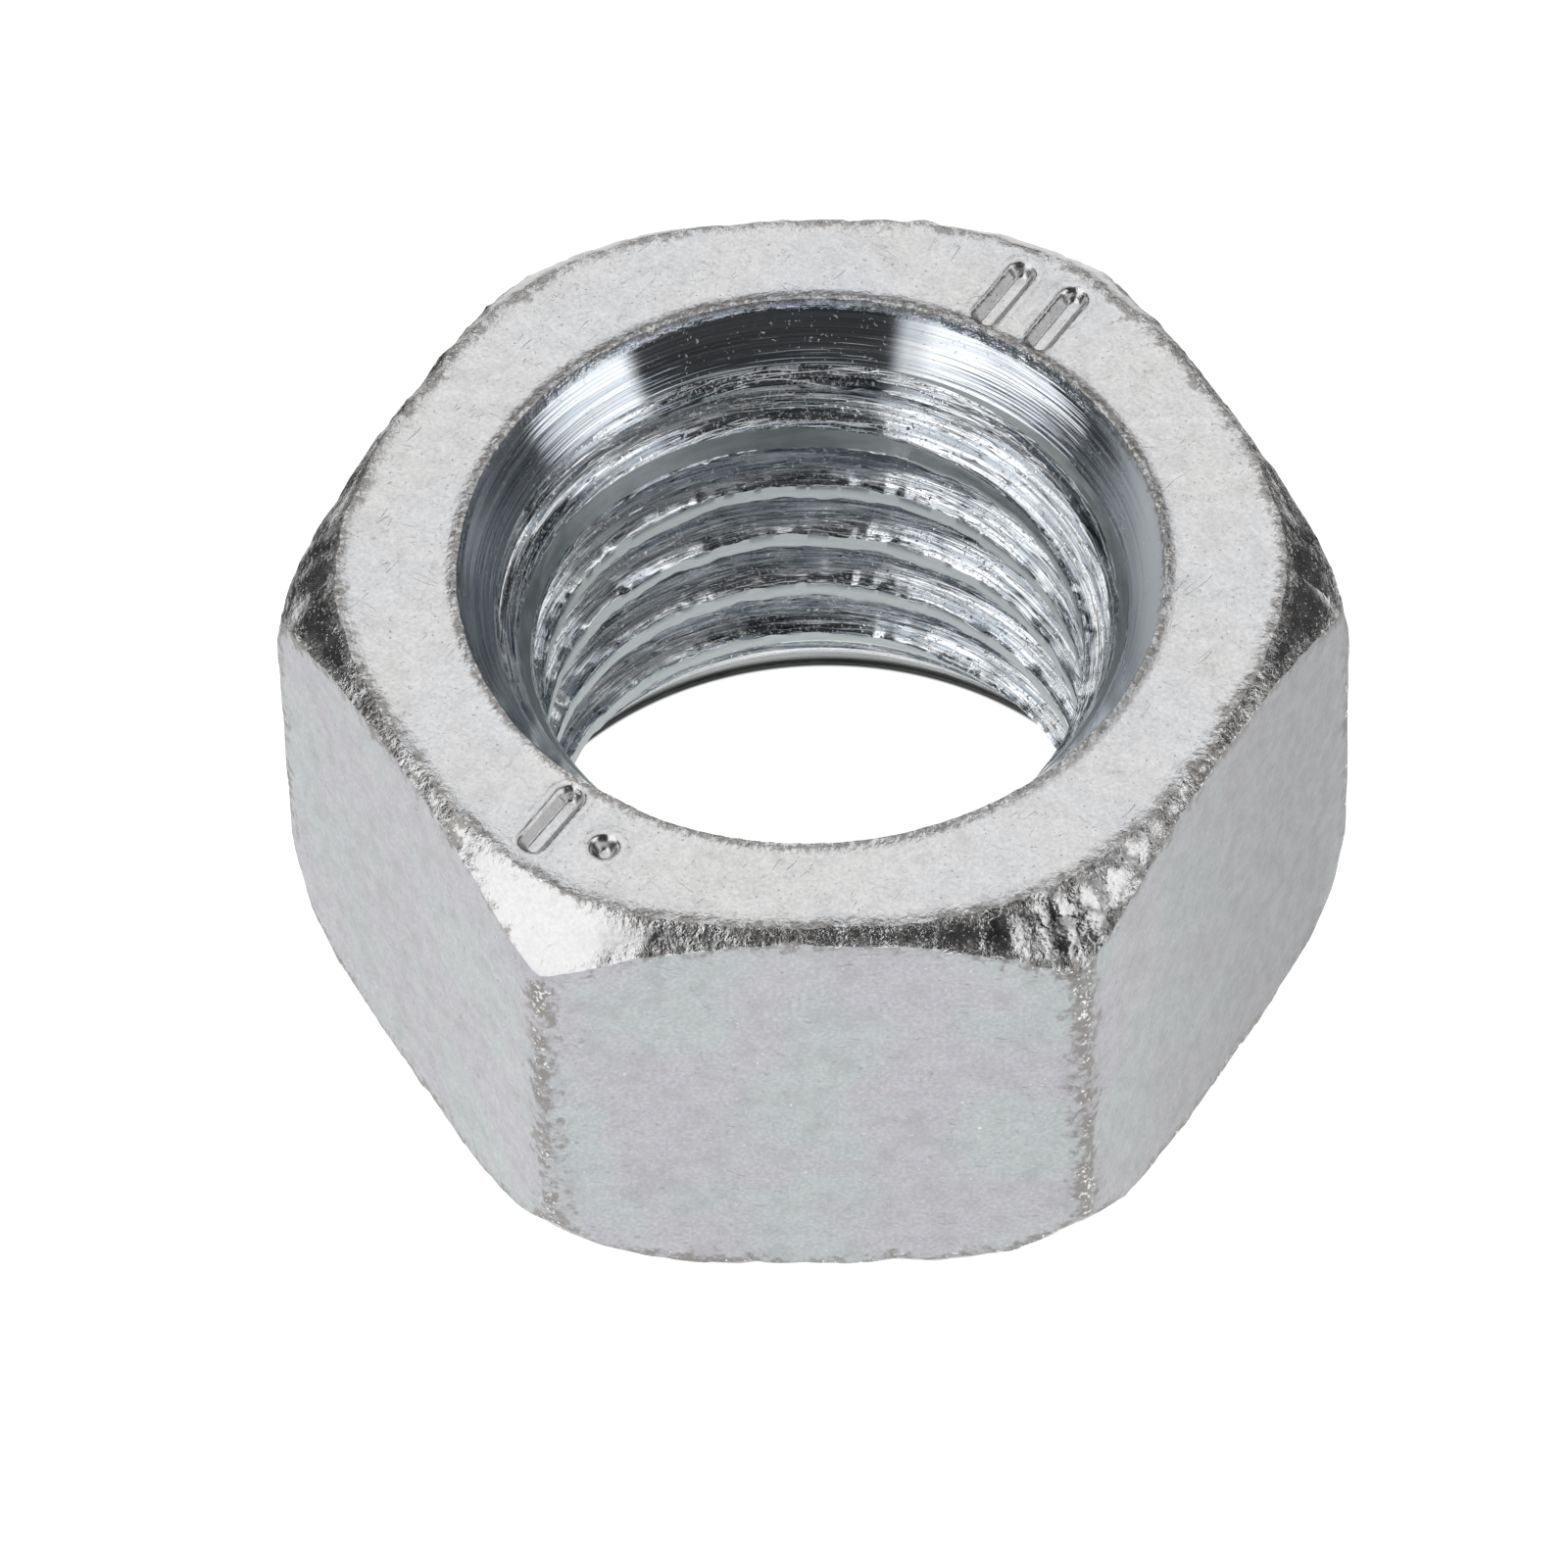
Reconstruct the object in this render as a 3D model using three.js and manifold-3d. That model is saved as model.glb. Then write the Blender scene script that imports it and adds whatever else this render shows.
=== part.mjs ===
// Hex nut, M16 coarse, with ISO 4032 proportions: one forged, turned and tapped piece of steel.
// Millimetres, +Z up. The origin is the middle of the lower bearing face, +Z is the thread axis,
// +X points at a corner of the hexagon and one wrench flat faces -Y.
import * as THREE from 'three';
import { mergeVertices } from 'three/addons/utils/BufferGeometryUtils.js';
import Module from 'manifold-3d';

// Driving dimensions
const ACROSS_FLATS = 24;
const HEIGHT = 14.8;
const CORNER_RADIUS = 0.5; // the six long edges are soft
const TOP_FACE_DIAMETER = 23.7; // flat bearing face that the chamfer leaves
const TOP_CHAMFER_ANGLE = 43; // degrees, between the chamfer cone and the bearing face
const BOTTOM_FACE_DIAMETER = 22.3;
const BOTTOM_CHAMFER_ANGLE = 47;

const PITCH = 2;
const MAJOR_DIAMETER = 16;
const MINOR_DIAMETER = 13.835;
const CREST_WIDTH = PITCH / 4; // flat on the inner edge of the thread
const ROOT_WIDTH = PITCH / 8; // flat at the bottom of the groove
const THREAD_PHASE = 0.51; // height of a crest above the lower face at +X, in pitches

const SINK_DIAMETER = 18; // mouth of the countersink on both bearing faces
const SINK_HALF_ANGLE = 31; // degrees from the axis

const MARK_RADIUS = 0.4; // round-nosed stamp
const MARK_DEPTH = 0.28;
const DOT_SCALE = 1.4; // a dimple is struck with a blunter punch
const MARK_RING = 10.35; // distance of the stamped marks from the axis
// Each mark is turned about the axis by its angle. A stroke of length 0 is a dot.
const MARKS = [
  { angle: 57, strokes: [{ across: -0.8, length: 1.3 }, { across: 0.8, length: 1.3 }] },
  { angle: 236, strokes: [{ across: -0.8, length: 1.3 }, { across: 0.8, length: 0 }] },
];

const TURN_STEPS = 72; // flat facets per turn of every round surface
const OVERRUN = 1; // how far a cutter runs past the body

const radians = THREE.MathUtils.degToRad;

const wasm = await Module();
wasm.setup();

function toSolid(geometry) {
  const bare = geometry.clone();
  bare.deleteAttribute('normal');
  bare.deleteAttribute('uv');
  const merged = mergeVertices(bare, 1e-5);
  return new wasm.Manifold(new wasm.Mesh({
    numProp: 3,
    vertProperties: new Float32Array(merged.attributes.position.array),
    triVerts: new Uint32Array(merged.index.array),
  }));
}

function toGeometry(solid) {
  const mesh = solid.getMesh();
  const geometry = new THREE.BufferGeometry();
  geometry.setAttribute('position', new THREE.BufferAttribute(mesh.vertProperties, 3));
  geometry.setIndex(new THREE.BufferAttribute(mesh.triVerts, 1));
  geometry.computeVertexNormals();
  return geometry;
}

// A LatheGeometry turns about Y, so it is stood up on Z.
function turned(profile) {
  const points = profile.map(([radius, height]) => new THREE.Vector2(radius, height));
  return new THREE.LatheGeometry(points, TURN_STEPS).rotateX(Math.PI / 2);
}

// Hexagonal bar with rounded corners, one corner on +X.
function hexagonBar() {
  const arcRing = (ACROSS_FLATS / 2 - CORNER_RADIUS) / Math.cos(Math.PI / 6);
  const outline = new THREE.Shape();
  for (let corner = 0; corner < 6; corner += 1) {
    const angle = (corner * Math.PI) / 3;
    const [x, y] = [arcRing * Math.cos(angle), arcRing * Math.sin(angle)];
    outline.absarc(x, y, CORNER_RADIUS, angle - Math.PI / 6, angle + Math.PI / 6, false);
  }
  outline.closePath();
  return new THREE.ExtrudeGeometry(outline, { depth: HEIGHT, bevelEnabled: false, curveSegments: 4 });
}

// Round blank with a cone at each end: where it meets the bar, it leaves the curved chamfers.
function chamferBlank() {
  const rim = ACROSS_FLATS * 0.6;
  const bottom = BOTTOM_FACE_DIAMETER / 2;
  const top = TOP_FACE_DIAMETER / 2;
  return turned([
    [0, 0],
    [bottom, 0],
    [rim, (rim - bottom) * Math.tan(radians(BOTTOM_CHAMFER_ANGLE))],
    [rim, HEIGHT - (rim - top) * Math.tan(radians(TOP_CHAMFER_ANGLE))],
    [top, HEIGHT],
    [0, HEIGHT],
  ]);
}

// Double cone that opens the mouth of the hole on both faces. Its waist is inside the thread.
function countersinks() {
  const mouth = SINK_DIAMETER / 2;
  const slope = Math.tan(radians(SINK_HALF_ANGLE));
  const waist = MINOR_DIAMETER / 2 - OVERRUN;
  const depth = (mouth - waist) / slope;
  const flare = mouth + OVERRUN * slope;
  return turned([
    [0, -OVERRUN],
    [flare, -OVERRUN],
    [waist, depth],
    [waist, HEIGHT - depth],
    [flare, HEIGHT + OVERRUN],
    [0, HEIGHT + OVERRUN],
  ]);
}

// The tap: a right-hand screw whose surface is one profile of crest and root flats, wound on a
// helix. Column 0 is on +X, and after a full turn each row lands on the row one pitch further up.
function tap() {
  const inner = MINOR_DIAMETER / 2;
  const outer = MAJOR_DIAMETER / 2;
  const profile = [
    [inner, -CREST_WIDTH / 2],
    [inner, CREST_WIDTH / 2],
    [outer, (PITCH - ROOT_WIDTH) / 2],
    [outer, (PITCH + ROOT_WIDTH) / 2],
  ];
  const lead = profile.length; // rows climbed in one turn
  const start = (THREAD_PHASE - 2) * PITCH;
  const turns = Math.ceil(HEIGHT / PITCH) + 4;
  const lastRow = turns * lead - 1;
  const lastStep = TURN_STEPS - 1;
  const positions = [];
  for (let row = 0; row <= lastRow; row += 1) {
    const [radius, offset] = profile[row % lead];
    const base = start + Math.floor(row / lead) * PITCH + offset;
    for (let step = 0; step <= lastStep; step += 1) {
      const turn = step / TURN_STEPS;
      const angle = 2 * Math.PI * turn;
      positions.push(radius * Math.cos(angle), radius * Math.sin(angle), base + PITCH * turn);
    }
  }

  const at = (row, step) => (step <= lastStep ? row * TURN_STEPS + step : (row + lead) * TURN_STEPS);
  const faces = [];
  for (let row = 0; row < lastRow; row += 1) {
    const end = row + lead < lastRow ? lastStep : lastStep - 1;
    for (let step = 0; step <= end; step += 1) {
      faces.push(at(row, step), at(row, step + 1), at(row + 1, step + 1));
      faces.push(at(row, step), at(row + 1, step + 1), at(row + 1, step));
    }
  }

  // Each end is a fan from the axis to one turn of the helix and the step that closes it.
  const lowRing = [];
  const highRing = [];
  for (let step = 0; step <= lastStep; step += 1) {
    lowRing.push(at(0, step));
    highRing.push(at(lastRow, step));
  }
  for (let row = 0; row < lead; row += 1) {
    lowRing.push(at(lead - row, 0));
    highRing.push(at(lastRow - 1 - row, lastStep));
  }
  const lowCentre = positions.length / 3;
  const highCentre = lowCentre + 1;
  positions.push(0, 0, start - PITCH, 0, 0, start + (turns + 2) * PITCH);
  lowRing.forEach((current, index) => {
    const next = (index + 1) % lowRing.length;
    faces.push(lowCentre, lowRing[next], current);
    faces.push(highCentre, highRing[index], highRing[next]);
  });

  const geometry = new THREE.BufferGeometry();
  geometry.setAttribute('position', new THREE.Float32BufferAttribute(positions, 3));
  geometry.setIndex(faces);
  return geometry;
}

// One stroke of a stamped mark: a round-nosed groove that points at the axis, or a dimple.
function stroke({ across, length }, angle) {
  const rise = MARK_RADIUS - MARK_DEPTH;
  const nose = length > 0
    ? new THREE.CapsuleGeometry(MARK_RADIUS, length, 4, 10)
    : new THREE.SphereGeometry(MARK_RADIUS * DOT_SCALE, 12, 8);
  return nose
    .rotateZ(-Math.PI / 2)
    .translate(MARK_RING, across, HEIGHT + rise)
    .rotateZ(radians(angle));
}

function hexNut() {
  let solid = toSolid(hexagonBar()).intersect(toSolid(chamferBlank()));
  solid = solid.subtract(toSolid(countersinks())).subtract(toSolid(tap()));
  for (const { angle, strokes } of MARKS) {
    for (const each of strokes) {
      solid = solid.subtract(toSolid(stroke(each, angle)));
    }
  }
  const zinc = new THREE.MeshStandardMaterial({ color: 0xc6cacd, roughness: 0.35, metalness: 1 });
  const mesh = new THREE.Mesh(toGeometry(solid), zinc);
  mesh.name = 'hex_nut';
  return mesh;
}

const nut = new THREE.Group();
nut.add(hexNut());

export default nut;
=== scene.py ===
"""Hex nut, zinc-plated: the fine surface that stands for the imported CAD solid.

The nut's shape is worked out in millimetres and scaled to metres when its mesh is made.
"""

import math

import bmesh
import bpy
import numpy as np
from mathutils import Matrix, Vector, noise


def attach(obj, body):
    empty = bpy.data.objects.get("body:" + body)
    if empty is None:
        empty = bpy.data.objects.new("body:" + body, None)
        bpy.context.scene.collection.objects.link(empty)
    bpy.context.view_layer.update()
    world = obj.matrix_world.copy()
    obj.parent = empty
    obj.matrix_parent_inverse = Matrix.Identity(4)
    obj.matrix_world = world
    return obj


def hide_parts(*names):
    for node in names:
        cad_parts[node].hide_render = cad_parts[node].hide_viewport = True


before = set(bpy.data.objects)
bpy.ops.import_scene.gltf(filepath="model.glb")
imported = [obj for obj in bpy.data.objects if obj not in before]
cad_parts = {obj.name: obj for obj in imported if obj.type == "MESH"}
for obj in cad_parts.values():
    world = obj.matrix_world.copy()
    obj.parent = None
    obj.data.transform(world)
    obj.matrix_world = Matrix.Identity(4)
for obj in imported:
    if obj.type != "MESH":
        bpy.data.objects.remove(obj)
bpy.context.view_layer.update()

MM = 0.001

# The nut's sizes in millimetres
FLATS = 24.0
HEIGHT = 14.8
EDGE_RADIUS = 0.5
PITCH = 2.0
MAJOR = 8.0
MINOR = 6.9175
CREST_PHASE = 1.02  # height of a crest's middle at +X
SINK = 9.0  # radius of the countersink's mouth
SINK_SLOPE = math.tan(math.radians(31))
SINK_DEPTH = 1.55  # the plain part of the cone, above the first groove
TOP_SKIN = 0.04  # the faces lie this far inside the box, to leave room for burrs
BOTTOM_SKIN = 0.02

CORNER = FLATS / 2 / math.cos(math.pi / 6)  # from the axis to a sharp corner of the hexagon

# Radius of each bearing face, at the flats and at the corners, and the slope of its chamfer
TOP_EDGE = (11.69, 12.08)
LOW_EDGE = (10.95, 11.60)
TOP_SLOPE = math.tan(math.radians(46.2))
LOW_SLOPE = math.tan(math.radians(51.7))

# Half of the thread's profile, from a crest's middle to the root's: (height, radius)
THREAD = (
    (0, MINOR),
    (0.22, MINOR + 0.004),
    (0.28, MINOR + 0.052),
    (0.40, MINOR + 0.260),
    (0.52, MINOR + 0.468),
    (0.64, MINOR + 0.676),
    (0.76, MINOR + 0.884),
    (0.87, MAJOR - 0.010),
    (1.00, MAJOR),
)

COLUMNS = 480  # steps round the nut
SECTOR = COLUMNS // 6
ARC_STEPS = 12  # steps round one of the six long edges

# Two stamped marks: angle on the face, then strokes as (offset across, half length). A stroke
# of half length 0 is a dot.
MARK_RING = 10.35
MARKS = ((57, ((-0.8, 0.80), (0.8, 0.80))), (236, ((-0.8, 0.80), (0.8, 0.0))))
STROKE = 0.42  # half width
STROKE_FLOOR = 0.12  # half width of its flat floor
STROKE_DEPTH = 0.34

CLEAN_CORNER = (-6.7, -11.6, 13.9)  # the one chamfered corner that was never knocked
CRUMPLED_CORNER = (6.7, -11.6, 13.9)  # the one that was knocked hardest

# Camera: angles in degrees, lens in millimetres
AZIMUTH = 1.786
ELEVATION = 51.09
ROLL = -1.949
LENS = 311.8
DISTANCE = 14.605 * FLATS
OFF_CENTRE = (0.0347 * FLATS, 0.0371 * FLATS)  # the nut sits this far right and up in the frame

# Shade on the floor in millimetres: (radius, brightness), and the radius that ends its scale
SHADE = ((8.84, 1.0), (8.90, 0.02), (10.3, 0.02), (10.8, 1.0))
SHADE_SPAN = 20.0


# ---------------------------------------------------------------- camera
def make_camera():
    """Long lens, looking down at the front flat."""
    azimuth, elevation, roll = math.radians(AZIMUTH), math.radians(ELEVATION), math.radians(ROLL)
    back = Vector((math.sin(azimuth) * math.cos(elevation),
                   -math.cos(azimuth) * math.cos(elevation),
                   math.sin(elevation)))
    across = Vector((math.cos(azimuth), math.sin(azimuth), 0))
    up = back.cross(across)
    right = across * math.cos(roll) + up * math.sin(roll)
    top = up * math.cos(roll) - across * math.sin(roll)
    aim = Vector((0, 0, HEIGHT / 2)) - right * OFF_CENTRE[0] - top * OFF_CENTRE[1]
    data = bpy.data.cameras.new("camera")
    data.sensor_width = 36
    data.lens = LENS
    data.clip_start = 0.01
    camera = bpy.data.objects.new("camera", data)
    basis = Matrix((right, top, back)).transposed().to_4x4()
    camera.matrix_world = Matrix.Translation((aim + back * DISTANCE) * MM) @ basis
    bpy.context.collection.objects.link(camera)
    bpy.context.scene.camera = camera


# ---------------------------------------------------------------- shape
def grain(points, size, seed):
    """Smooth noise from about -1 to 1 at an array of points, with lumps of about that size."""
    scaled = np.asarray(points, dtype=float) / size + seed * 17.3
    flat = scaled.reshape(-1, 3)
    values = [noise.noise(Vector(p)) for p in flat]
    return np.array(values).reshape(scaled.shape[:-1])


def step_up(low, high, value):
    t = np.clip((value - low) / (high - low), 0, 1)
    return t * t * (3 - 2 * t)


def bell(value, width):
    return np.exp(-(value / width) ** 2)


def spread(count, ends):
    """count + 1 values from 0 to 1, crowded towards both ends as `ends` goes from 0 to 1."""
    t = np.linspace(0, 1, count + 1)
    return t * (1 - ends) + (0.5 - 0.5 * np.cos(math.pi * t)) * ends


def hex_outline():
    """Rounded hexagon as COLUMNS points, the first on +X, with an even step on each flat."""
    arc_ring = (FLATS / 2 - EDGE_RADIUS) / math.cos(math.pi / 6)
    half_flat = arc_ring / 2
    points = []
    for column in range(COLUMNS):
        corner, step = divmod(column + ARC_STEPS // 2, SECTOR)
        turn = corner * math.pi / 3
        if step <= ARC_STEPS:
            angle = turn + math.radians(-30 + 60 * step / ARC_STEPS)
            x = arc_ring * math.cos(turn) + EDGE_RADIUS * math.cos(angle)
            y = arc_ring * math.sin(turn) + EDGE_RADIUS * math.sin(angle)
        else:
            along = half_flat * (2 * (step - ARC_STEPS) / (SECTOR - ARC_STEPS) - 1)
            facing = turn + math.pi / 6
            x = FLATS / 2 * math.cos(facing) - along * math.sin(facing)
            y = FLATS / 2 * math.sin(facing) + along * math.cos(facing)
        points.append((x, y))
    return np.array(points)


def ring(xy, height):
    return np.column_stack([xy, np.broadcast_to(height, len(xy))])


def circle(radius):
    angle = np.arange(COLUMNS) * 2 * math.pi / COLUMNS
    return np.column_stack([radius * np.cos(angle), radius * np.sin(angle)])


def knocked(xy):
    """1 wherever the nut was knocked about, falling to 0.15 at its one clean corner."""
    return 1 - 0.85 * bell(np.linalg.norm(xy - CLEAN_CORNER[:2], axis=1), 3.0)


def face_edge(outline, radii, seed):
    """The wavy line where a bearing face turns down into its chamfer."""
    at_flats, at_corners = radii
    angle = np.arctan2(outline[:, 1], outline[:, 0])
    radius = at_flats + (at_corners - at_flats) * (1 + np.cos(6 * angle)) / 2
    unit = outline / np.linalg.norm(outline, axis=1)[:, None]
    place = ring(unit * radius[:, None], 0)
    wave = 0.10 * grain(place, 1.7, seed) + 0.07 * grain(place, 0.45, seed + 1)
    return unit * (radius + wave * knocked(outline))[:, None]


def chamfer_rings(edge, outline, slope, rows):
    """Rings from the face's edge to the flats, as points and their drops below the face.

    The cone is a little crowned, and its lower line is ragged.
    """
    inner = np.linalg.norm(edge, axis=1)
    outer = np.linalg.norm(outline, axis=1)
    place = ring(outline, slope)
    ragged = (0.08 * grain(place, 0.8, 7) + 0.08 * grain(place, 0.25, 8)) * knocked(outline)
    rings = []
    for t in spread(rows, 0.3):
        crown = 0.05 * math.sin(math.pi * t)
        drop = np.maximum(outer - inner, 0.05) * slope
        rings.append((edge + (outline - edge) * t, drop * (t - crown) + ragged * t ** 8))
    return rings


def blank_rings():
    """Rings over the outside: top face, top chamfer, flats, lower chamfer, lower face.

    Each is its band's name, its points, and how close each point is to a worn edge, from 0 to
    about 1.
    """
    outline = hex_outline()
    top_edge = face_edge(outline, TOP_EDGE, 3)
    low_edge = face_edge(outline, LOW_EDGE, 5)
    top, low = HEIGHT - TOP_SKIN, BOTTOM_SKIN
    from_corner = CORNER - reach_to_hexagon(outline)
    corner = bell(from_corner, 0.30)

    def rounded(xy, distance):
        """Draws the six corners in where a chamfer meets a long edge, `distance` from that meeting."""
        pull = 0.17 * bell(from_corner, 0.45) * bell(distance, 0.60)
        return xy * (1 - pull / np.linalg.norm(xy, axis=1))[:, None]

    rings = []
    for t in spread(28, 0.55):
        xy = circle(SINK) * (1 - t) + top_edge * t
        rings.append(("face", ring(xy, top), face_wear(xy, top_edge)))
    upper = chamfer_rings(top_edge, outline, TOP_SLOPE, 8)
    for xy, drop in upper[1:]:
        place = ring(rounded(xy, upper[-1][1] - drop), top - drop)
        rings.append(("chamfer", place, chamfer_wear(xy, top_edge, outline)))
    lower = chamfer_rings(low_edge, outline, LOW_SLOPE, 8)
    high_line, low_line = top - upper[-1][1], low + lower[-1][1]
    for t in spread(14, 0.5)[1:]:
        z = high_line * (1 - t) + low_line * t
        rim = bell(high_line - z, 0.34) + bell(z - low_line, 0.34)
        place = ring(rounded(outline, np.minimum(high_line - z, z - low_line)), z)
        rings.append(("flat", place, np.maximum(rim, corner)))
    for xy, drop in reversed(lower[:-1]):
        place = ring(rounded(xy, lower[-1][1] - drop), low + drop)
        rings.append(("chamfer", place, chamfer_wear(xy, low_edge, outline)))
    for t in spread(10, 0.5)[1:]:
        xy = low_edge * (1 - t) + circle(SINK) * t
        rings.append(("face", ring(xy, low), face_wear(xy, low_edge)))
    return rings


def reach_to_hexagon(outline):
    """Distance from the axis to the sharp hexagon, along each point's direction."""
    angle = np.arctan2(outline[:, 1], outline[:, 0]) % (math.pi / 3)
    return FLATS / 2 / np.cos(angle - math.pi / 6)


def face_wear(xy, edge):
    from_edge = np.linalg.norm(xy - edge, axis=1)
    from_mouth = np.linalg.norm(xy, axis=1) - SINK
    return np.maximum(bell(from_edge, 0.28), 1.25 * bell(from_mouth, 0.22))


def chamfer_wear(xy, edge, outline):
    from_face = np.linalg.norm(xy - edge, axis=1)
    from_flat = np.linalg.norm(xy - outline, axis=1)
    return np.maximum(bell(from_face, 0.30), bell(from_flat, 0.26)) * (0.1 + 0.9 * knocked(xy))


def sink_radius(z):
    return SINK - np.minimum(z - BOTTOM_SKIN, HEIGHT - TOP_SKIN - z) * SINK_SLOPE


def sink_rings(from_z, to_z, rows):
    rings = []
    for z in np.linspace(from_z, to_z, rows + 1)[1:]:
        depth = min(z - BOTTOM_SKIN, HEIGHT - TOP_SKIN - z)
        wear = np.full(COLUMNS, 0.8 * bell(depth, 0.16))
        rings.append(("sink", ring(circle(sink_radius(z)), z), wear))
    return rings


def upright(radius, height):
    """Points of a grid whose columns stand at even angles round the axis."""
    angle = np.arange(COLUMNS) * 2 * math.pi / COLUMNS
    return np.stack([radius * np.cos(angle), radius * np.sin(angle), height], -1)


def thread_grid():
    """Rows that follow the helix: points [row, column], rows per turn, which rows are crest, and
    how far along the helix each point lies."""
    offsets = [h for h, _ in THREAD] + [PITCH - h for h, _ in reversed(THREAD[1:-1])]
    radii = [r for _, r in THREAD] + [r for _, r in reversed(THREAD[1:-1])]
    lead = len(offsets)
    turns = 8
    climb = PITCH * np.arange(COLUMNS) / COLUMNS
    base = np.repeat((CREST_PHASE + PITCH * np.arange(-1, turns - 1)), lead) + np.tile(offsets, turns)
    height = base[:, None] + climb
    radius = np.tile(radii, turns)[:, None] + np.zeros(COLUMNS)
    meet_countersinks(height, radius)
    profile = np.mod(height - climb - CREST_PHASE, PITCH)
    thread = np.interp(profile, offsets + [PITCH], radii + [radii[0]])
    on_thread = thread > sink_radius(height)
    radius = np.where(on_thread, thread, sink_radius(height))
    # Tear the crest edges up and down a little.
    from_middle = np.minimum(np.tile(offsets, turns), PITCH - np.tile(offsets, turns))
    edge = bell(from_middle - 0.24, 0.12)[:, None]
    place = upright(radius, height)
    tear = 0.13 * grain(place, 1.1, 11) + 0.08 * grain(place, 0.35, 12)
    height = height + np.where(on_thread, edge * tear, 0)
    # Rows past the ends of the thread lie on the lines where its cones begin.
    low, high = SINK_DEPTH, HEIGHT - SINK_DEPTH
    height = np.clip(height, low, high)
    past = (height <= low) | (height >= high)
    radius = np.where(past, sink_radius(height), radius)
    crest = np.tile([h < 0.25 or h > PITCH - 0.25 for h in offsets], turns)
    turn = np.repeat(np.arange(turns), lead)[:, None] + np.arange(COLUMNS) / COLUMNS
    return upright(radius, height), lead, crest, turn * 2 * math.pi * MAJOR


def meet_countersinks(height, radius):
    """Moves the nearest row's heights onto the line where a countersink and the thread meet."""
    gap = sink_radius(height) - radius
    cross = gap[:-1] * gap[1:] < 0
    t = np.where(cross, gap[:-1] / np.where(cross, gap[:-1] - gap[1:], 1), 0)
    met = height[:-1] + t * (height[1:] - height[:-1])
    height[:-1] = np.where(cross & (t < 0.5), met, height[:-1])
    height[1:] = np.where(cross & (t >= 0.5), met, height[1:])


def stroke_distance(x, y):
    """Distance in the face from the nearest stamped stroke's middle line."""
    nearest = np.full(x.shape, 99.0)
    for angle, strokes in MARKS:
        turn = math.radians(angle)
        along = x * math.cos(turn) + y * math.sin(turn) - MARK_RING
        across = y * math.cos(turn) - x * math.sin(turn)
        for offset, half in strokes:
            past = np.maximum(np.abs(along) - half, 0)
            nearest = np.minimum(nearest, np.hypot(past, across - offset))
    return nearest


def near_mark(x, y, width):
    """1 in line with a stamped mark, fading to 0 over an angle."""
    angle = np.degrees(np.arctan2(y, x))
    total = 0
    for mark, _ in MARKS:
        total = total + bell((angle - mark + 180) % 360 - 180, width)
    return np.minimum(total, 1)


def relief(points):
    """Moves the bare shape's points by the forging's and the tools' unevenness."""
    x, y, z = points.T
    r = np.hypot(x, y)
    unit = np.column_stack([x / r, y / r])
    fine, middle, coarse = grain(points, 0.22, 21), grain(points, 0.6, 22), grain(points, 2.2, 23)
    top = z > HEIGHT - TOP_SKIN - 0.001
    low = z < BOTTOM_SKIN + 0.001
    on_face = (top | low) & (r > SINK - 0.001)
    up = np.where(top, 1.0, -1.0)
    # Bearing faces: almost flat, with a burr along the countersink's mouth.
    burr = bell(r - SINK - 0.09, 0.13) * (0.5 + 1.1 * np.abs(fine) + 0.6 * middle)
    mark = stroke_distance(x, y)
    pressed = step_up(0, 1, (STROKE - mark) / (STROKE - STROKE_FLOOR))
    lip = bell(mark - STROKE - 0.10, 0.12) * (0.8 + 0.6 * middle)
    lift = 0.006 * coarse + 0.004 * middle + 0.042 * burr
    lift = lift + np.where(top, 0.035 * lip - STROKE_DEPTH * pressed, 0)
    z = z + np.where(on_face, up * lift, 0)
    # Countersink's mouth: slightly ragged, and pushed inwards beside the stamped marks.
    push = bell(r - SINK, 0.07) * (0.012 * middle + 0.025 * fine)
    swell = bell(r - SINK, 0.40) * near_mark(x, y, 6.5) * (0.06 + 0.03 * coarse)
    push = np.where(r < SINK + 0.8, push - np.where(z > HEIGHT / 2, swell, 0), 0)
    # Flats and chamfers: slightly uneven, and lumpy along the six long edges.
    outside = r > 11.0
    corner = bell(CORNER - reach_to_hexagon(points[:, :2]), 0.30)
    skin = np.where(outside & ~on_face, 1.0, 0.0)
    push = push - skin * (0.010 + 0.010 * coarse + 0.005 * middle)
    push = push - skin * corner * (0.05 + 0.07 * np.abs(middle) + 0.05 * np.abs(fine))
    moved = np.column_stack([x + unit[:, 0] * push, y + unit[:, 1] * push, z])
    moved[:, 1] = np.clip(moved[:, 1], -FLATS / 2, FLATS / 2)
    moved[:, 2] = np.clip(moved[:, 2], 0, HEIGHT)
    return moved


SLOTS = ("face", "chamfer", "flat", "sink", "flank", "crest")


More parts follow.
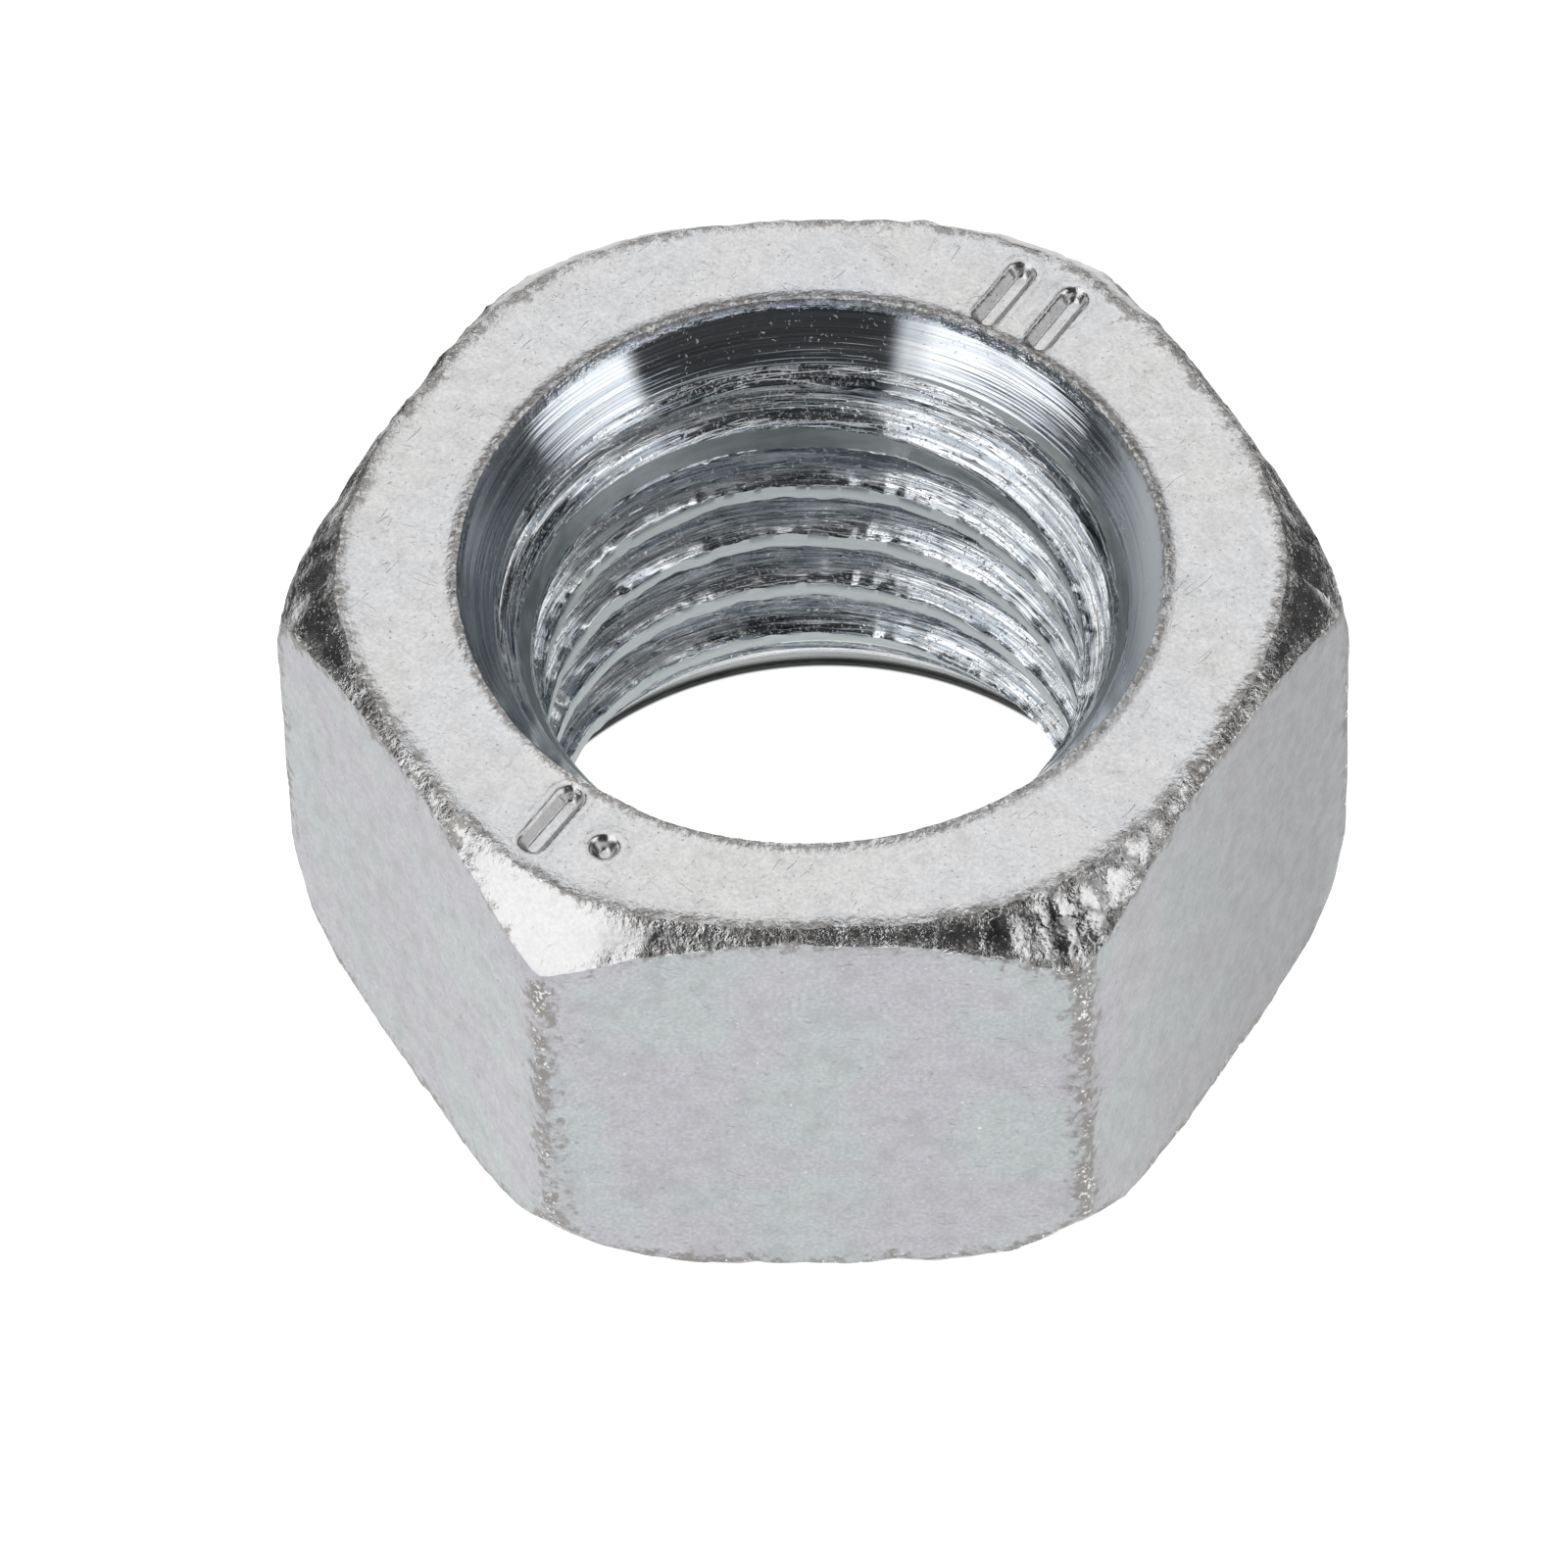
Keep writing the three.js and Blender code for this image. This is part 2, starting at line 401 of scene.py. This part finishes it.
def woven_surface():
    """The bare closed surface: rings over the outside, the thread's rows, and rings back to the start."""
    opening = blank_rings() + sink_rings(BOTTOM_SKIN, SINK_DEPTH, 8)
    grid, lead, crest, travel = thread_grid()
    closing = sink_rings(HEIGHT - SINK_DEPTH, HEIGHT - TOP_SKIN, 12)[:-1]
    points = np.concatenate([p for _, p, _ in opening] + list(grid) + [p for _, p, _ in closing])
    no_wear = np.zeros(len(grid) * COLUMNS)
    wear = np.concatenate([w for _, _, w in opening] + [no_wear] + [w for _, _, w in closing])
    first_grid = len(opening)
    last_grid = first_grid + len(grid) - 1
    helix = np.zeros(len(points))
    helix[first_grid * COLUMNS:(last_grid + 1) * COLUMNS] = travel.ravel()

    def at(row, column):
        if column < COLUMNS:
            return row * COLUMNS + column
        if first_grid <= row <= last_grid:
            row = min(row + lead, last_grid)
        return row * COLUMNS

    bands = [name for name, _, _ in opening[1:]] + ["sink"]
    bands += ["crest" if here and above else "flank" for here, above in zip(crest, crest[1:])]
    bands += ["sink"] * (len(closing) + 1)
    bm = bmesh.new()
    wear_layer = bm.verts.layers.float.new("wear")
    helix_layer = bm.verts.layers.float.new("helix")
    verts = [bm.verts.new(p) for p in points]
    for vert, worn, along in zip(verts, wear, helix):
        vert[wear_layer] = worn
        vert[helix_layer] = along
    for row, band in enumerate(bands):
        above = (row + 1) % len(bands)
        for column in range(COLUMNS):
            corners = (at(row, column), at(row, column + 1), at(above, column + 1), at(above, column))
            kept = [c for i, c in enumerate(corners) if c != corners[i - 1]]
            if len(kept) > 2:
                face = bm.faces.new([verts[c] for c in reversed(kept)])
                face.material_index = SLOTS.index(band)
    bmesh.ops.remove_doubles(bm, verts=bm.verts, dist=1e-4)
    bmesh.ops.dissolve_degenerate(bm, edges=bm.edges, dist=1e-5)
    return bm


def nut_mesh():
    """The finished surface, in metres, with a material index on each face."""
    bm = woven_surface()
    refine_marks(bm)
    moved = relief(np.array([v.co for v in bm.verts]))
    for vert, place in zip(bm.verts, moved):
        vert.co = place * MM
    for face in bm.faces:
        face.smooth = True
        centre = face.calc_center_median() / MM
        if centre.z > HEIGHT - 0.5 and STROKE_FLOOR < from_stroke(centre) < STROKE:
            face.material_index = SLOTS.index("chamfer")
    bmesh.ops.recalc_face_normals(bm, faces=bm.faces)
    mesh = bpy.data.meshes.new("hex_nut_surface")
    bm.to_mesh(mesh)
    bm.free()
    mesh.set_sharp_from_angle(angle=math.radians(38))
    return mesh


def from_stroke(point):
    """Distance in the face of one point from the nearest stroke's middle line."""
    return stroke_distance(np.array(point.x), np.array(point.y))


def refine_marks(bm):
    """Splits the top face's cells round the stamped marks, so that the strokes have crisp walls."""
    chosen = set()
    for face in bm.faces:
        centre = face.calc_center_median()
        if centre.z > HEIGHT - TOP_SKIN - 0.01 and from_stroke(centre) < STROKE + 0.2:
            chosen.update(face.edges)
    bmesh.ops.subdivide_edges(bm, edges=list(chosen), cuts=2, use_grid_fill=True)


# ---------------------------------------------------------------- materials
class Nodes:
    """Adds linked nodes to a node tree."""

    def __init__(self, tree):
        self.tree = tree

    def node(self, kind, inputs=None, **settings):
        made = self.tree.nodes.new(kind)
        for key, value in settings.items():
            setattr(made, key, value)
        for key, value in (inputs or {}).items():
            self.plug(made.inputs[key], value)
        return made

    def plug(self, socket, value):
        if isinstance(value, bpy.types.NodeSocket):
            self.tree.links.new(value, socket)
        else:
            socket.default_value = value

    def math(self, operation, a, b=0.0):
        return self.node("ShaderNodeMath", {0: a, 1: b}, operation=operation).outputs[0]

    def times(self, a, b):
        return self.math("MULTIPLY", a, b)

    def ramp(self, value, low, high, out_low=0.0, out_high=1.0):
        values = {"Value": value, "From Min": low, "From Max": high, "To Min": out_low, "To Max": out_high}
        return self.node("ShaderNodeMapRange", values, interpolation_type="SMOOTHSTEP").outputs["Result"]


class Metal(Nodes):
    """A metal material whose nodes work in millimetres."""

    def __init__(self, name):
        self.material = bpy.data.materials.new(name)
        self.material.use_nodes = True
        super().__init__(self.material.node_tree)
        self.shader = self.tree.nodes["Principled BSDF"]
        self.shader.inputs["Metallic"].default_value = 1.0
        position = self.node("ShaderNodeTexCoord").outputs["Object"]
        self.place = self.vector("SCALE", position, scale=1 / MM)
        self.parts = self.node("ShaderNodeSeparateXYZ", {0: self.place}).outputs
        square_x = self.times(self.parts["X"], self.parts["X"])
        square_y = self.times(self.parts["Y"], self.parts["Y"])
        self.radius = self.math("SQRT", self.math("ADD", square_x, square_y))
        self.wear = self.attribute("wear")

    def distance(self, point):
        made = self.node("ShaderNodeVectorMath", {0: self.place, 1: point}, operation="DISTANCE")
        return made.outputs["Value"]

    def attribute(self, name):
        return self.node("ShaderNodeAttribute", attribute_name=name).outputs["Fac"]

    def vector(self, operation, a, b=None, scale=None):
        made = self.node("ShaderNodeVectorMath", {0: a}, operation=operation)
        if b is not None:
            self.plug(made.inputs[1], b)
        if scale is not None:
            self.plug(made.inputs["Scale"], scale)
        return made.outputs["Vector"]

    def noise(self, size, detail=2.0, place=None, shift=0.0):
        """Noise from 0 to 1 with lumps of `size` millimetres."""
        moved = self.vector("ADD", place or self.place, (shift, shift, shift))
        values = {"Vector": moved, "Scale": 1 / size, "Detail": detail, "Roughness": 0.6}
        return self.node("ShaderNodeTexNoise", values).outputs["Fac"]

    def mix(self, amount, a, b):
        made = self.node("ShaderNodeMix", {"Factor": amount}, data_type="RGBA")
        colours = [s for s in made.inputs if s.type == "RGBA"]
        self.plug(colours[0], a)
        self.plug(colours[1], b)
        return next(s for s in made.outputs if s.type == "RGBA")

    def turned(self, across, around):
        """Coordinates that run long round the axis and short across it, for a turning tool's marks."""
        unit_x = self.times(self.math("DIVIDE", self.parts["X"], self.radius), around)
        unit_y = self.times(self.math("DIVIDE", self.parts["Y"], self.radius), around)
        depth = self.times(self.radius, across)
        return self.node("ShaderNodeCombineXYZ", {"X": unit_x, "Y": unit_y, "Z": depth}).outputs[0]

    def helical(self, length, width):
        """Coordinates that follow the thread, for a tap's marks of that length and width."""
        along = self.math("DIVIDE", self.attribute("helix"), length)
        across = self.math("DIVIDE", self.radius, width)
        return self.node("ShaderNodeCombineXYZ", {"X": along, "Y": across}).outputs[0]

    def wrinkles(self, size):
        """Distance from a net of crooked creases about `size` millimetres apart, in that unit."""
        values = {"Vector": self.place, "Scale": 2.2 / size, "Detail": 3.0}
        wander = self.node("ShaderNodeTexNoise", values).outputs["Color"]
        bent = self.vector("ADD", self.place, self.vector("SCALE", wander, scale=size))
        values = {"Vector": bent, "Scale": 1 / size}
        return self.node("ShaderNodeTexVoronoi", values, feature="DISTANCE_TO_EDGE").outputs["Distance"]

    def hairline(self, value, width):
        """1 along the line where a noise crosses 0.5, falling to 0 at `width` to either side."""
        off = self.math("ABSOLUTE", self.math("SUBTRACT", value, 0.5))
        return self.ramp(off, 0.0, width, 1.0, 0.0)

    def bump(self, height, depth, normal=None):
        """Height from 0 to 1, as `depth` millimetres of relief."""
        values = {"Height": height, "Distance": depth * MM, "Strength": 1.0}
        if normal:
            values["Normal"] = normal
        return self.node("ShaderNodeBump", values).outputs["Normal"]

    def finish(self, colour, roughness, normal):
        self.plug(self.shader.inputs["Base Color"], colour)
        self.plug(self.shader.inputs["Roughness"], roughness)
        self.plug(self.shader.inputs["Normal"], normal)
        return self.material


def grey(level, red=0.0, blue=0.0):
    return (level + red, level, level + blue, 1.0)


def worn_edges(g, colour, roughness, dullest=0.36):
    """Grainy metal where two surfaces meet: brown-grey blotches between bright, burnished grains."""
    reach = g.times(g.wear, g.ramp(g.noise(1.3, 2.0, shift=24.0), 0.35, 0.65, 0.20, 0.36))
    dull = g.ramp(g.math("ADD", g.noise(0.30, 5.0, shift=4.0), reach), 0.62, 0.82, 0.0, 0.80)
    burnished = g.ramp(g.math("ADD", g.noise(0.12, 2.0, shift=14.0), reach), 0.88, 0.96, 0.0, 0.8)
    colour = g.mix(dull, colour, grey(dullest, 0.015, -0.015))
    colour = g.mix(burnished, colour, grey(0.95))
    roughness = g.math("ADD", roughness, g.times(dull, 0.12))
    lumps = g.times(g.noise(0.19, 3.0, shift=9.0), g.wear)
    return colour, roughness, lumps


def satin_zinc():
    """Bearing faces: pale and matt, with fine speckle, glints and hairline scratches."""
    g = Metal("satin_zinc")
    warm, cool = grey(0.70, 0.008, -0.004), grey(0.70, -0.008, 0.022)
    tint = g.mix(g.ramp(g.noise(3.2, 1.0, shift=2.0), 0.35, 0.65), warm, cool)
    speckle = g.noise(0.10, 4.0)
    colour = g.mix(g.ramp(speckle, 0.32, 0.70, 0.0, 0.6), tint, grey(0.92))
    blotch = g.ramp(g.noise(0.7, 5.0, shift=5.0), 0.48, 0.74, 0.0, 0.34)
    colour = g.mix(blotch, colour, grey(0.56))
    pits = g.ramp(g.noise(0.20, 1.0, shift=12.0), 0.27, 0.19, 0.0, 0.6)
    colour = g.mix(pits, colour, grey(0.35))
    glints = g.ramp(g.noise(0.12, 1.0, shift=15.0), 0.72, 0.78)
    colour = g.mix(glints, colour, grey(1.0))
    roughness = g.ramp(g.noise(0.5, 4.0, shift=7.0), 0.3, 0.7, 0.30, 0.42)
    colour, roughness, lumps = worn_edges(g, colour, roughness)
    normal = g.bump(speckle, 0.020)
    normal = g.bump(g.noise(0.9, 3.0, shift=3.0), 0.040, normal)
    normal = g.bump(scratches(g), -0.006, normal)
    normal = g.bump(glints, 0.030, normal)
    normal = g.bump(lumps, 0.12, normal)
    return g.finish(colour, roughness, normal)


def scratches(g):
    """Hairline scratches in two directions: thin level lines of stretched noise, broken up."""
    total = None
    for turn, shift in ((0.5, 31.0), (-0.9, 37.0)):
        values = {"Vector": g.place, "Angle": turn}
        rotated = g.node("ShaderNodeVectorRotate", values, rotation_type="Z_AXIS").outputs[0]
        long = g.vector("MULTIPLY", rotated, (0.45, 2.0, 1.6))
        line = g.hairline(g.noise(1.0, 1.0, long, shift), 0.010)
        broken = g.ramp(g.noise(0.9, 2.0, shift=shift + 3), 0.56, 0.66)
        broken_line = g.times(line, broken)
        total = broken_line if total is None else g.math("MAXIMUM", total, broken_line)
    return total


def drawn_zinc_painted_shade():
    """Flats: cooler than the faces and darker through painted shade, faintly streaked round the nut.

    Painted shade makes them much darker towards the nut's right corner, and a little towards its left one.
    """
    g = Metal("drawn_zinc_painted_shade")
    speckle = g.noise(0.12, 4.0)
    # Painted shade: the flats' base colour is much darker than the faces' zinc.
    pink, green = grey(0.398, 0.010, 0.040), grey(0.432, -0.036, 0.010)
    colour = g.mix(g.ramp(g.noise(3.4, 2.0, shift=2.0), 0.40, 0.60), pink, green)
    drawn = g.noise(1.0, 4.0, g.vector("MULTIPLY", g.place, (0.8, 0.8, 2.2)))
    colour = g.mix(g.ramp(drawn, 0.35, 0.70, 0.0, 0.22), colour, grey(0.54, -0.01, 0.01))
    colour = g.mix(g.ramp(speckle, 0.35, 0.72, 0.0, 0.65), colour, grey(0.57))
    mottle = g.ramp(g.noise(0.9, 5.0, shift=5.0), 0.46, 0.70, 0.0, 0.48)
    colour = g.mix(mottle, colour, grey(0.36, -0.004, 0.008))
    chips = g.ramp(g.noise(0.16, 1.0, shift=25.0), 0.72, 0.79, 0.0, 0.6)
    colour = g.mix(chips, colour, grey(0.80))
    # Painted shade: darker towards the right corner (+X), a little towards the left (-X).
    right = g.ramp(g.parts["X"], 4.5, 13.0, 0.0, 0.76)
    left = g.ramp(g.parts["X"], -6.0, -12.0, 0.0, 0.14)
    colour = g.mix(g.math("ADD", right, left), colour, grey(0.24, -0.004, 0.006))
    pits = g.ramp(g.noise(0.22, 1.0, shift=12.0), 0.28, 0.20, 0.0, 0.6)
    colour = g.mix(pits, colour, grey(0.22))
    roughness = g.ramp(g.noise(0.5, 4.0, shift=7.0), 0.3, 0.7, 0.32, 0.44)
    colour, roughness, lumps = worn_edges(g, colour, roughness, 0.24)
    normal = g.bump(speckle, 0.022)
    normal = g.bump(drawn, 0.010, normal)
    normal = g.bump(g.noise(0.9, 3.0, shift=3.0), 0.045, normal)
    normal = g.bump(scratches(g), -0.008, normal)
    normal = g.bump(chips, 0.020, normal)
    normal = g.bump(lumps, 0.07, normal)
    return g.finish(colour, roughness, normal)


def rolled_chamfer():
    """Chamfers: smoother metal that mirrors the tent, grainy where the nut was knocked about.

    Near one corner it is crumpled into folds, with painted shade darkening their creases, and near another
    it is clean.
    """
    g = Metal("rolled_chamfer")
    speckle = g.noise(0.12, 4.0)
    colour = g.mix(g.ramp(speckle, 0.3, 0.7, 0.0, 0.4), grey(0.64), grey(0.80))
    dented = g.ramp(g.distance(CLEAN_CORNER), 3.2, 4.8)
    crumpled = g.ramp(g.distance(CRUMPLED_CORNER), 5.0, 2.5)
    roughness = g.ramp(g.noise(0.4, 3.0, shift=7.0), 0.3, 0.7, 0.14, 0.28)
    colour, roughness, lumps = worn_edges(g, colour, roughness, 0.22)
    # Painted shade: the fold creases are darkened towards near-black.
    folds = g.times(g.ramp(g.wrinkles(1.3), 0.0, 0.16, 1.0, 0.0), crumpled)
    colour = g.mix(g.times(folds, 0.7), colour, grey(0.16))
    specks = g.times(g.ramp(g.noise(0.10, 2.0, shift=16.0), 0.66, 0.72), dented)
    colour = g.mix(specks, colour, grey(0.95))
    normal = g.bump(folds, -0.012)
    normal = g.bump(g.times(g.noise(1.2, 3.0, shift=6.0), crumpled), 0.070, normal)
    normal = g.bump(g.times(g.noise(0.40, 3.0, shift=26.0), dented), 0.030, normal)
    normal = g.bump(speckle, 0.003, normal)
    normal = g.bump(specks, 0.020, normal)
    normal = g.bump(lumps, 0.08, normal)
    g.shader.inputs["Specular Tint"].default_value = grey(0.7)
    return g.finish(colour, roughness, normal)


def turned_sink():
    """Countersinks: mirror-like and bluish, with fine grooves that deepen towards the thread."""
    g = Metal("turned_sink")
    grooves = g.noise(1.0, 3.0, g.turned(13.0, 0.8))
    fine = g.noise(1.0, 2.0, g.turned(26.0, 1.2))
    colour = g.mix(g.ramp(grooves, 0.3, 0.7), grey(0.54, -0.055, 0.075), grey(0.78, -0.035, 0.045))
    colour = g.mix(g.ramp(fine, 0.40, 0.62, 0.0, 0.75), colour, grey(0.96, -0.02, 0.02))
    # Painted light: the countersinks' right side (+X) is made paler.
    right = g.ramp(g.parts["X"], 7.5, 8.8)
    colour = g.mix(right, colour, grey(0.93, -0.03, 0.03))
    specks = g.ramp(g.noise(0.10, 2.0, shift=6.0), 0.68, 0.73)
    colour = g.mix(specks, colour, grey(0.95))
    # Painted shade: the lower countersink is darkened below about 3 mm.
    lower = g.ramp(g.parts["Z"], 3.2, 2.2)
    colour = g.mix(lower, colour, grey(0.13, -0.012, 0.0))
    aside = g.ramp(g.math("ABSOLUTE", g.parts["X"]), 6.8, 8.6, 0.0, 0.12)
    satin = g.math("ADD", aside, g.times(right, 0.36))
    roughness = g.math("ADD", g.ramp(fine, 0.3, 0.7, 0.06, 0.12), satin)
    colour, roughness, lumps = worn_edges(g, colour, roughness)
    deep = g.ramp(g.radius, 8.8, 8.3, 0.3, 1.0)
    normal = g.bump(g.times(grooves, deep), 0.014)
    normal = g.bump(fine, 0.0020, normal)
    normal = g.bump(specks, 0.012, normal)
    normal = g.bump(lumps, 0.05, normal)
    return g.finish(colour, roughness, normal)


def cut_flank():
    """Thread flanks: bright and bluish, scored by the tap in long streaks, with torn specks, near-black
    score lines of painted shade and white ridge lines of painted highlight.
    """
    g = Metal("cut_flank")
    streaks = g.noise(1.0, 3.0, g.helical(4.0, 0.13))
    fine = g.noise(1.0, 2.0, g.helical(2.0, 0.05))
    colour = g.mix(g.ramp(streaks, 0.40, 0.60), grey(0.46, -0.045, 0.045), grey(0.97, -0.02, 0.02))
    # Score lines are near-black painted shade, and ridge lines are white painted highlight on a slight
    # real bump.
    score_painted_shade = g.hairline(g.noise(1.0, 2.0, g.helical(5.0, 0.18), 3.0), 0.022)
    ridge_and_painted_highlight = g.hairline(g.noise(1.0, 2.0, g.helical(4.0, 0.15), 9.0), 0.016)
    colour = g.mix(g.times(score_painted_shade, 0.9), colour, grey(0.04))
    colour = g.mix(ridge_and_painted_highlight, colour, grey(0.97))
    torn = g.ramp(g.noise(0.09, 2.0, shift=8.0), 0.58, 0.63)
    torn = g.times(torn, g.ramp(g.noise(1.3, 2.0, shift=18.0), 0.38, 0.52))
    colour = g.mix(torn, colour, grey(0.97))
    roughness = g.ramp(fine, 0.3, 0.7, 0.06, 0.16)
    normal = g.bump(streaks, 0.010)
    normal = g.bump(fine, 0.0022, normal)
    normal = g.bump(ridge_and_painted_highlight, 0.008, normal)
    normal = g.bump(torn, 0.035, normal)
    return g.finish(colour, roughness, normal)


def dull_crest():
    """Crest flats: drilled before the tap, so they stay a matt grey with a green cast."""
    g = Metal("dull_crest")
    smear = g.noise(1.0, 3.0, g.vector("MULTIPLY", g.place, (1.2, 1.2, 6.0)))
    colour = g.mix(g.ramp(smear, 0.3, 0.7), grey(0.42, -0.035, 0.0), grey(0.53, -0.03, 0.005))
    speck = g.noise(0.08, 3.0)
    colour = g.mix(g.ramp(speck, 0.64, 0.78, 0.0, 0.35), colour, grey(0.80))
    roughness = g.ramp(smear, 0.3, 0.7, 0.38, 0.50)
    normal = g.bump(speck, 0.004)
    return g.finish(colour, roughness, normal)


# ---------------------------------------------------------------- nut, floor and light
def make_nut():
    mesh = nut_mesh()
    finishes = {
        "face": satin_zinc(),
        "chamfer": rolled_chamfer(),
        "flat": drawn_zinc_painted_shade(),
        "sink": turned_sink(),
        "flank": cut_flank(),
        "crest": dull_crest(),
    }
    for name in SLOTS:
        mesh.materials.append(finishes[name])
    nut = bpy.data.objects.new("nut_surface", mesh)
    bpy.context.collection.objects.link(nut)
    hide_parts("hex_nut")
    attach(nut, "root")


def pale_floor():
    """Matt white with an even glow, and a narrow dark ring under the nut for its contact shadow."""
    material = bpy.data.materials.new("pale_floor")
    material.use_nodes = True
    g = Nodes(material.node_tree)
    shader = g.tree.nodes["Principled BSDF"]
    shader.inputs["Base Color"].default_value = (0.32, 0.32, 0.32, 1)
    shader.inputs["Roughness"].default_value = 1.0
    shader.inputs["Specular IOR Level"].default_value = 0.1
    shader.inputs["Emission Color"].default_value = (1, 1, 1, 1)
    place = g.node("ShaderNodeTexCoord").outputs["Object"]
    radius = g.node("ShaderNodeVectorMath", {0: place}, operation="LENGTH").outputs["Value"]
    glow = g.node("ShaderNodeValToRGB", {0: g.math("DIVIDE", radius, SHADE_SPAN * MM)})
    stops = glow.color_ramp.elements
    for _ in SHADE[2:]:
        stops.new(0.5)
    for stop, (at, level) in zip(stops, SHADE):
        stop.position = at / SHADE_SPAN
        stop.color = (level, level, level, 1)
    g.plug(shader.inputs["Emission Strength"], glow.outputs["Color"])
    return material


def make_floor():
    bpy.ops.mesh.primitive_circle_add(vertices=96, radius=0.6, fill_type="NGON")
    floor = bpy.context.object
    floor.name = "floor"
    floor.data.materials.append(pale_floor())


def make_flags():
    """Two black cards behind the nut that only show as reflections in its corners."""
    distance, height = 0.050, 0.018
    for name, azimuth in (("flag_left", 142), ("flag_right", 38)):
        bpy.ops.mesh.primitive_plane_add(size=1)
        flag = bpy.context.object
        flag.name = name
        turn = math.radians(azimuth)
        flag.scale = (0.075, 0.036, 1)
        flag.rotation_euler = (math.radians(90), 0, turn + math.radians(90))
        flag.location = (distance * math.cos(turn), distance * math.sin(turn), height)
        material = bpy.data.materials.new(name)
        material.use_nodes = True
        shader = material.node_tree.nodes["Principled BSDF"]
        shader.inputs["Base Color"].default_value = (0.01, 0.01, 0.01, 1)
        flag.data.materials.append(material)
        flag.visible_camera = False
        flag.visible_diffuse = False
        flag.visible_shadow = False


def make_light():
    """A white tent with brighter boxes and dark gaps, which show only in reflections."""
    world = bpy.data.worlds.new("tent")
    bpy.context.scene.world = world
    world.use_nodes = True
    g = Nodes(world.node_tree)
    parts = g.node("ShaderNodeSeparateXYZ", {0: g.node("ShaderNodeTexCoord").outputs["Generated"]}).outputs
    # Bearing is 0 straight ahead of the front flat (-Y) and grows to the right; both are in degrees.
    forward = g.times(parts["Y"], -1.0)
    bearing = g.math("DEGREES", g.math("ARCTAN2", parts["X"], forward))
    height = g.math("DEGREES", g.math("ARCSINE", parts["Z"]))
    side = g.math("ABSOLUTE", bearing)

    def between(value, low, high, soft):
        rise = g.ramp(value, low - soft, low + soft)
        fall = g.ramp(value, high - soft, high + soft, 1.0, 0.0)
        return g.times(rise, fall)

    def blend(amount, a, b):
        return g.node("ShaderNodeMix", {"Factor": amount, "A": a, "B": b}).outputs["Result"]

    level = blend(between(height, 20, 95, 18), 0.80, 1.0)
    left_box = g.times(between(bearing, -88, -34, 4), between(height, -6, 72, 8))
    level = blend(left_box, level, 1.33)
    right_box = g.times(between(bearing, 48, 86, 4), between(height, -6, 40, 6))
    level = blend(right_box, level, 1.3)
    right_gap = g.times(between(bearing, 46, 135, 8), between(height, 40, 76, 6))
    level = blend(right_gap, level, 0.20)
    front_gap = g.times(between(bearing, -26, 52, 3), between(height, -95, 74, 8))
    level = blend(front_gap, level, 0.045)
    corner_box = g.times(between(bearing, 43, 62, 3), between(height, 25, 38, 4))
    level = blend(corner_box, level, 1.2)
    skirting = g.times(between(side, 90, 185, 5), between(height, -95, 22, 8))
    level = blend(skirting, level, 0.09)
    seen = g.node("ShaderNodeLightPath").outputs["Is Camera Ray"]
    level = blend(seen, level, 1.0)
    g.plug(g.tree.nodes["Background"].inputs["Color"], level)
    bpy.context.scene.view_settings.view_transform = "Standard"


make_camera()
make_nut()
make_floor()
make_flags()
make_light()
